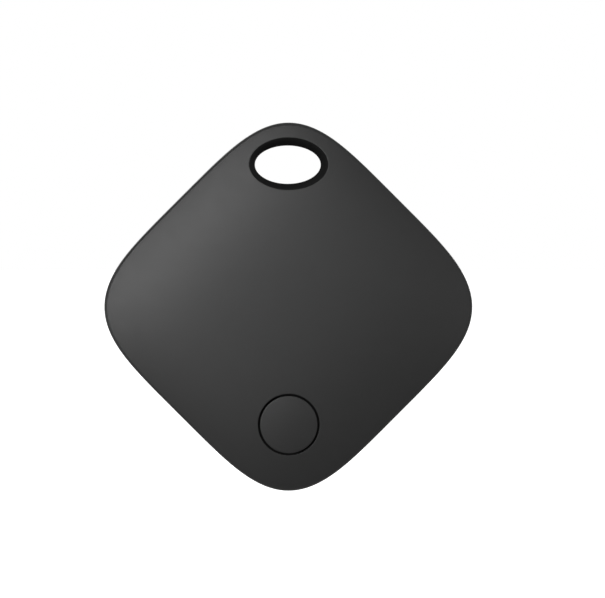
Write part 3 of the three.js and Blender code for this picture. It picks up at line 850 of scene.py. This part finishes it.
class Cluster:
    """Small blocks and discs in a part's own frame: x along it, y across it, z up from the board's face."""

    def __init__(self, node):
        self.mesh = bmesh.new()
        low, high = drawn_box(node)
        x, y = (low.x + high.x) / 2, (low.y + high.y) / 2
        turn = math.atan2(y - CELL_CENTRE[1], x) if node in RING_PARTS else 0.0
        spin = Matrix.Rotation(-turn, 2)
        points = [WORLD.inverted() @ vertex.co for vertex in frame["nodes"][node].data.vertices]
        flat_points = [spin @ Vector((point.x - x, point.y - y)) for point in points]
        self.length = 2 * max(point.x for point in flat_points)
        self.width = 2 * max(point.y for point in flat_points)
        self.height = high.z - low.z
        facing = Matrix.Rotation(math.pi, 4, "X")
        self.place = WORLD @ Matrix.Translation((x, y, high.z)) @ Matrix.Rotation(turn, 4, "Z") @ facing

    def block(self, size, centre, edge=0.03):
        shape = Matrix.Translation(centre) @ Matrix.Diagonal((*size, 1))
        made = bmesh.ops.create_cube(self.mesh, size=1, matrix=shape)
        edges = list(dict.fromkeys(e for vert in made["verts"] for e in vert.link_edges))
        bmesh.ops.bevel(self.mesh, geom=edges, offset=edge, segments=2, profile=0.5, affect="EDGES")

    def disc(self, radius, low, high, x=0.0, y=0.0):
        shape = Matrix.Translation((x, y, (low + high) / 2))
        size = {"radius1": radius, "radius2": radius, "depth": high - low}
        bmesh.ops.create_cone(self.mesh, cap_ends=True, segments=32, matrix=shape, **size)

    def fillet(self, side, width, reach, rise):
        """A solder fillet from the end of the part down to the board."""
        end = side * self.length / 2
        foot = end + side * reach
        back = end - side * 0.1
        hollow = end + side * 0.35 * reach
        section = [(back, -0.02), (foot, -0.02), (hollow, 0.3 * rise), (end, rise), (back, rise)]
        rows = []
        for y in (-width / 2, width / 2):
            rows.append([self.mesh.verts.new((x, y, z)) for x, z in section])
        for i in range(5):
            j = (i + 1) % 5
            self.mesh.faces.new((rows[0][i], rows[0][j], rows[1][j], rows[1][i]))
        self.mesh.faces.new(rows[0])
        self.mesh.faces.new(rows[1])

    def piece(self, name, material, slot):
        return make_piece(name, self.mesh, material, "case", transform=self.place)


def end_caps(node):
    """The tinned ends of a chip part, and the solder they stand in."""
    part = Cluster(node)
    wrap = 0.2 * part.length
    grown = 0.03
    for side in (-1, 1):
        size = (wrap, part.width + grown, part.height + grown)
        part.block(size, (side * (part.length - wrap + grown) / 2, 0, part.height / 2), 0.04)
        part.fillet(side, part.width, 0.22, 0.6 * part.height)
    part.piece(f"{node}_ends", solder_tin, "plated_steel")


def pad_rows(node, count, pitch):
    """Rows of solder pads just showing along a flat package's four edges."""
    part = Cluster(node)
    for i in range(count):
        along = (i - (count - 1) / 2) * pitch
        for sign in (-1, 1):
            part.block((0.3, 0.22, 0.12), (sign * part.length / 2, along, 0.03), 0.02)
            part.block((0.22, 0.3, 0.12), (along, sign * part.width / 2, 0.03), 0.02)
    part.piece(f"{node}_pads", solder_tin, "plated_steel")


def gull_leads(node, ends):
    """Bent leads of a small package: (side, along) says where each one leaves it."""
    part = Cluster(node)
    for side, along in ends:
        across = side * part.width / 2
        part.block((0.4, 0.2, 0.12), (along, across + side * 0.08, 0.42 * part.height), 0.03)
        part.block((0.4, 0.12, 0.42 * part.height), (along, across + side * 0.16, 0.21 * part.height), 0.03)
        part.block((0.4, 0.42, 0.12), (along, across + side * 0.3, 0.05), 0.03)
    part.piece(f"{node}_leads", solder_tin, "plated_steel")


def pin_mark(node, radius, inset):
    """The round dimple by a package's first pin, as a thin pale disc."""
    part = Cluster(node)
    x, y = inset - part.length / 2, part.width / 2 - inset
    part.disc(radius, part.height - 0.02, part.height + 0.008, x, y)
    part.piece(f"{node}_pin_mark", gasket_grey, "chip_resin")


def crystal_lid(node):
    """The seam-welded lid of a crystal on its ceramic base."""
    part = Cluster(node)
    part.block((part.length - 0.3, part.width - 0.3, 0.06), (0, 0, part.height + 0.01), 0.02)
    part.piece(f"{node}_lid", plated_steel, "plated_steel")


def inductor_core():
    """The round core and the end terminals of the boost inductor."""
    part = Cluster("boost_inductor")
    part.disc(1.05, part.height - 0.05, part.height + 0.03)
    part.piece("boost_inductor_core", chip_resin, "ferrite")
    part = Cluster("boost_inductor")
    for side in (-1, 1):
        part.block((0.5, 2.0, 0.3), (side * (part.length / 2 - 0.15), 0, 0.12), 0.03)
        part.fillet(side, 2.0, 0.25, 0.3)
    part.piece("boost_inductor_ends", solder_tin, "plated_steel")


TEST_POINT_PLACES = [(x, -12.9 + 0.2 * abs(x)) for x in (-4.5, -2.7, -0.9, 0.9, 2.7)]
TEST_POINT_RADIUS = 0.52
COPPER_RISE = 0.035


def solder_spots():
    """Solder on the feet of the cell contacts and gold test points on the board."""
    face = board_low.z
    spots = [(x, CELL_CENTRE[1] + y) for x in (-12.0, 12.0) for y in (-1.0, 1.0)]
    sunk = face + 0.01
    bead = [(0.1, face - 0.36), (0.25, face - 0.34), (0.42, face - 0.24), (0.5, face - 0.1)]
    for number, centre in enumerate(spots, 1):
        skin = turned([*bead, (0.55, sunk), (0.1, sunk)], centre, facets=24)
        skin.piece(f"contact_solder_{number}", solder_tin, "case", "plated_steel")
    r, top = TEST_POINT_RADIUS, face - COPPER_RISE
    pad = [(0.1, top), (r - 0.02, top), (r, face - 0.02), (r, sunk), (0.1, sunk)]
    for number, centre in enumerate(TEST_POINT_PLACES, 1):
        skin = turned(pad, centre, facets=32)
        skin.piece(f"test_point_{number}", gold_plate, "case", "copper")


# ---------------------------------------------------------------- tracks, vias and ink on the board
def polar(radius, degrees):
    """A point round the middle of the cell."""
    angle = math.radians(degrees)
    return (radius * math.cos(angle), CELL_CENTRE[1] + radius * math.sin(angle))


def route(*knots):
    """Plane points through (radius, degrees) knots round the cell, in short steps."""
    points = []
    for (radius, degrees), (next_radius, next_degrees) in zip(knots, knots[1:]):
        out = next_radius - radius
        round_by = next_degrees - degrees
        steps = max(1, round(abs(round_by) / 2))
        for i in range(steps):
            share = i / steps
            points.append(polar(radius + out * share, degrees + round_by * share))
    return [*points, polar(*knots[-1])]


def add_strip(mesh, points, width, low, high):
    """A flat strip along plane points, as a closed prism."""
    path = [Vector(point) for point in points]
    sections = []
    for i, point in enumerate(path):
        along = (path[min(i + 1, len(path) - 1)] - path[max(i - 1, 0)]).normalized()
        across = Vector((-along.y, along.x)) * width / 2
        corners = ((-1, low), (-1, high), (1, high), (1, low))
        sections.append([mesh.verts.new((*(point + side * across), z)) for side, z in corners])
    for first, second in zip(sections, sections[1:]):
        for i in range(4):
            j = (i + 1) % 4
            mesh.faces.new((first[i], first[j], second[j], second[i]))
    mesh.faces.new(sections[0])
    mesh.faces.new(sections[-1])


TRACKS = [
    route((11.35, 13), (11.35, 72)), route((11.65, 13), (11.65, 20), (12.05, 20)),
    route((11.35, 108), (11.35, 167)), route((11.65, 116), (11.65, 157), (12.3, 157)),
    route((11.95, 120), (11.95, 150)), route((11.95, 30), (11.95, 62)),
    route((11.35, -13), (11.35, -78)), route((12.3, -20), (11.65, -20), (11.65, -54), (12.3, -54)),
    route((12.3, -27), (11.95, -27), (11.95, -34), (12.3, -34)),
    route((12.3, -61), (11.65, -61), (11.65, -74)),
    route((11.35, 193), (11.35, 258)), route((12.3, 200), (11.65, 200), (11.65, 235), (12.3, 235)),
    route((12.3, 207), (11.95, 207), (11.95, 214), (12.3, 214)),
    route((12.3, 242), (11.65, 242), (11.65, 254)),
    route((14.1, -20), (15.0, -20), (15.0, -16)), route((14.1, -27), (15.6, -27), (15.6, -17)),
    route((14.1, -34), (14.7, -34), (14.7, -47)), route((14.1, -54), (15.2, -54), (15.2, -62)),
    route((14.1, 200), (15.0, 200), (15.0, 194)), route((14.1, 207), (15.6, 207), (15.6, 195)),
    route((14.1, 214), (14.7, 214), (14.7, 222)), route((14.1, 235), (15.2, 235), (15.2, 250)),
    route((14.1, 157), (15.0, 157), (15.0, 168)),
]
TRACK_WIDTH = 0.17
VIA_RADIUS = 0.26


def tracks():
    """Raised tracks under the solder mask, with a via at each free end."""
    low, high = board_low.z - COPPER_RISE, board_low.z + 0.01
    past_rim = TEST_POINT_RADIUS + 0.02
    test_runs = [((x, y + past_rim), (x, 0.02 * x * x - 10.95)) for x, y in TEST_POINT_PLACES]
    mesh = bmesh.new()
    for points in TRACKS:
        add_strip(mesh, points, TRACK_WIDTH, low, high)
    for start, end in test_runs:
        add_strip(mesh, [start, end], TRACK_WIDTH, low, high)
    make_piece("board_tracks", mesh, track_green, "case")
    vias = Skin()
    ends = [points[-1] for points in TRACKS] + [points[0] for points in TRACKS[:6]]
    top = low - 0.02
    rim = [(VIA_RADIUS, high), (VIA_RADIUS, low), (VIA_RADIUS - 0.04, top)]
    profile = [*rim, (0.1, top), (0.08, low + 0.01)]
    for centre in [*ends, *[end for start, end in test_runs]]:
        loops = [vias.loop(circle(radius, centre, 16), z) for radius, z in profile]
        vias.bridges(loops)
        vias.cap(loops[0])
        vias.cap(loops[-1])
    vias.piece("board_vias", track_green, "case", "board_laminate")


def ink_frame(node):
    """White ink lines along the sides of a package."""
    part = Cluster(node)
    for sign in (-1, 1):
        part.block((part.length + 1.0, 0.12, 0.03), (0, sign * (part.width / 2 + 0.42), -0.035), 0.005)
    part.piece(f"{node}_ink", silk_white, "board_laminate")


for node in [*CAPACITORS, *RESISTORS, *ANTENNA_INDUCTORS, "driver_diode"]:
    end_caps(node)
tracks()
for node in ("radio_chip", "boost_inductor", "driver_transistor", "motion_sensor", "driver_diode"):
    ink_frame(node)
pad_rows("radio_chip", 7, 0.5)
pad_rows("motion_sensor", 4, 0.45)
gull_leads("driver_transistor", [(-1, -0.95), (-1, 0.95), (1, 0)])
pin_mark("radio_chip", 0.22, 0.55)
pin_mark("motion_sensor", 0.13, 0.35)
crystal_lid("radio_crystal")
crystal_lid("clock_crystal")
inductor_core()
solder_spots()

# ---------------------------------------------------------------- CAD nodes that keep their shape
node_materials = {
    "switch_body": chip_resin, "switch_frame": plated_steel, "switch_plunger": plunger_plastic,
    "circuit_board": board_green, "radio_chip": chip_resin, "radio_crystal": plated_steel,
    "clock_crystal": plated_steel, "boost_inductor": ferrite_grey, "driver_transistor": chip_resin,
    "driver_diode": chip_resin, "motion_sensor": chip_resin, "antenna_trace": trace_copper,
    "buzzer_adhesive": adhesive_cream, "buzzer_plate": buzzer_brass, "buzzer_ceramic": piezo_white,
    "buzzer_spring_1": spring_steel, "buzzer_spring_2": spring_steel,
    "cell_cap": cell_steel, "cell_gasket": gasket_grey, "cell_cathode": cathode_black,
    "cell_separator": separator_white, "cell_anode": lithium_grey, "cell_holder": holder_plastic,
    "positive_contact_1": spring_steel, "positive_contact_2": spring_steel, "negative_contact": spring_steel,
    **dict.fromkeys(CAPACITORS, capacitor_tan),
    **dict.fromkeys(RESISTORS, chip_resin),
    **dict.fromkeys(ANTENNA_INDUCTORS, ferrite_grey),
}
for node, material in node_materials.items():
    node_data = frame["nodes"][node].data
    node_data.materials.clear()
    node_data.materials.append(material)


def soften_node(node, width_mm):
    """Joins a CAD node's facets into one skin, rounds its sharp edges and shades the facets smooth."""
    thing = frame["nodes"][node]
    for polygon in thing.data.polygons:
        polygon.use_smooth = True
    weld = thing.modifiers.new("weld", "WELD")
    weld.merge_threshold = 0.001 * MM
    bevel = thing.modifiers.new("bevel", "BEVEL")
    bevel.width = width_mm * MM
    bevel.segments = 2
    bevel.limit_method = "ANGLE"
    bevel.angle_limit = math.radians(30)
    bevel.harden_normals = True


SOFT_EDGES = {
    "cell_holder": 0.1, "positive_contact_1": 0.04, "positive_contact_2": 0.04, "negative_contact": 0.03,
    "antenna_trace": 0.02, "cell_cap": 0.04, "cell_gasket": 0.04, "switch_body": 0.06, "switch_plunger": 0.06,
    "buzzer_plate": 0.03, "buzzer_ceramic": 0.03,
}
for node, width_mm in SOFT_EDGES.items():
    soften_node(node, width_mm)

# ---------------------------------------------------------------- floor, world, lights and camera
CENTRE = (cad_low + cad_high) / 2
CAMERA_DISTANCE = 0.48
SENSOR = 36.0
FRAME_WIDTH = 0.07506  # width that the picture takes in at the tag
CAMERA_YAW = -math.radians(1.6)
CAMERA_PITCH = -math.radians(0.95)
CAMERA_RIGHT = 0.00179  # steps aside that set where the tag stands in the picture
CAMERA_UP = 0.00092


def floor():
    """A pale round floor, bright to the camera and left out of the tag's light."""
    mesh = bmesh.new()
    bmesh.ops.create_circle(mesh, cap_ends=True, segments=96, radius=3.0)
    data = bpy.data.meshes.new("pale_floor")
    mesh.to_mesh(data)
    mesh.free()
    plane = new_object("pale_floor", data)
    plane.location = (0, 0, cad_low.z - 0.5 * MM)
    material, shader = node_material("pale_floor", 0.8)
    shader.inputs["Base Color"].default_value = (0.9, 0.9, 0.9, 1)
    shader.inputs["Emission Color"].default_value = (1, 1, 1, 1)
    shader.inputs["Emission Strength"].default_value = 0.9
    data.materials.append(material)
    plane.visible_diffuse = False
    plane.visible_glossy = False


FRONT_AMBIENT = 0.085  # soft light from straight in front of the tag
AMBIENT = 0.5  # and from everywhere else
FRONT_DIRECTION = -0.8  # Y of the directions between which the one passes into the other
SIDE_DIRECTION = -0.62


def world():
    """White to the camera; to the tag a soft dome, dimmer straight in front."""
    backdrop = bpy.data.worlds.new("studio")
    backdrop.use_nodes = True
    nodes = backdrop.node_tree.nodes
    seen = nodes["Background"]
    seen.inputs["Color"].default_value = (1, 1, 1, 1)
    seen.inputs["Strength"].default_value = 1.0
    ambient = add_node(backdrop, "ShaderNodeBackground", Color=(1, 1, 1, 1))
    direction = add_node(backdrop, "ShaderNodeTexCoord")
    parts = add_node(backdrop, "ShaderNodeSeparateXYZ")
    strength = add_node(backdrop, "ShaderNodeMapRange", From_Min=FRONT_DIRECTION, From_Max=SIDE_DIRECTION)
    strength.inputs["To Min"].default_value = FRONT_AMBIENT
    strength.inputs["To Max"].default_value = AMBIENT
    path = add_node(backdrop, "ShaderNodeLightPath")
    mix = add_node(backdrop, "ShaderNodeMixShader")
    link(backdrop, direction.outputs["Generated"], parts.inputs["Vector"])
    link(backdrop, parts.outputs["Y"], strength.inputs["Value"])
    link(backdrop, strength.outputs["Result"], ambient.inputs["Strength"])
    link(backdrop, path.outputs["Is Camera Ray"], mix.inputs["Fac"])
    link(backdrop, ambient.outputs["Background"], mix.inputs[1])
    link(backdrop, seen.outputs["Background"], mix.inputs[2])
    link(backdrop, mix.outputs["Shader"], nodes["World Output"].inputs["Surface"])
    bpy.context.scene.world = backdrop


def aim(off_axis, around):
    """A direction so many degrees off the camera's axis, turned from the right towards the top."""
    lean = math.radians(off_axis)
    turn = math.radians(around)
    return (math.sin(lean) * math.cos(turn), -math.cos(lean), math.sin(lean) * math.sin(turn))


LIGHT_DISTANCE = 0.5


def soft_box(name, direction, width, height, watts, roll=0.0):
    """A soft box aimed at the middle of the tag from a direction."""
    data = bpy.data.lights.new(name, "AREA")
    data.shape = "RECTANGLE"
    data.size = width
    data.size_y = height
    data.energy = watts
    lamp = new_object(name, data)
    away = Vector(direction).normalized()
    lamp.location = CENTRE + away * LIGHT_DISTANCE
    lamp.rotation_mode = "QUATERNION"
    lamp.rotation_quaternion = away.to_track_quat("Z", "Y") @ Matrix.Rotation(roll, 3, "Z").to_quaternion()
    lamp.visible_camera = False


def camera():
    data = bpy.data.cameras.new("photo_camera")
    data.sensor_width = SENSOR
    data.lens = SENSOR * CAMERA_DISTANCE / FRAME_WIDTH
    data.clip_start = 0.01
    eye = new_object("photo_camera", data)
    turn = Matrix.Rotation(CAMERA_YAW, 4, "Z") @ Matrix.Rotation(CAMERA_PITCH, 4, "X")
    aside = Vector((CAMERA_RIGHT, -CAMERA_DISTANCE, CAMERA_UP))
    eye.location = CENTRE + turn @ aside
    eye.rotation_euler = (RIGHT_ANGLE + CAMERA_PITCH, 0, CAMERA_YAW)
    bpy.context.scene.camera = eye


floor()
world()
soft_box("key_left", aim(15.1, 163.8), 0.26, 0.05, 0.5, math.radians(45))
soft_box("key_upper", aim(10.0, 130.0), 0.27, 0.05, 0.165, math.radians(45))
soft_box("fill_right", aim(23.8, -2.4), 0.15, 0.15, 0.08)
soft_box("side_left", (-0.8, -0.6, -0.1), 0.25, 0.25, 0.18)
soft_box("back_left", (-0.5, 0.9, 0.7), 0.25, 0.25, 0.5)
soft_box("back_right", (0.8, 0.75, 0.12), 0.12, 0.3, 0.8)
camera()
bpy.context.scene.view_settings.view_transform = "Standard"
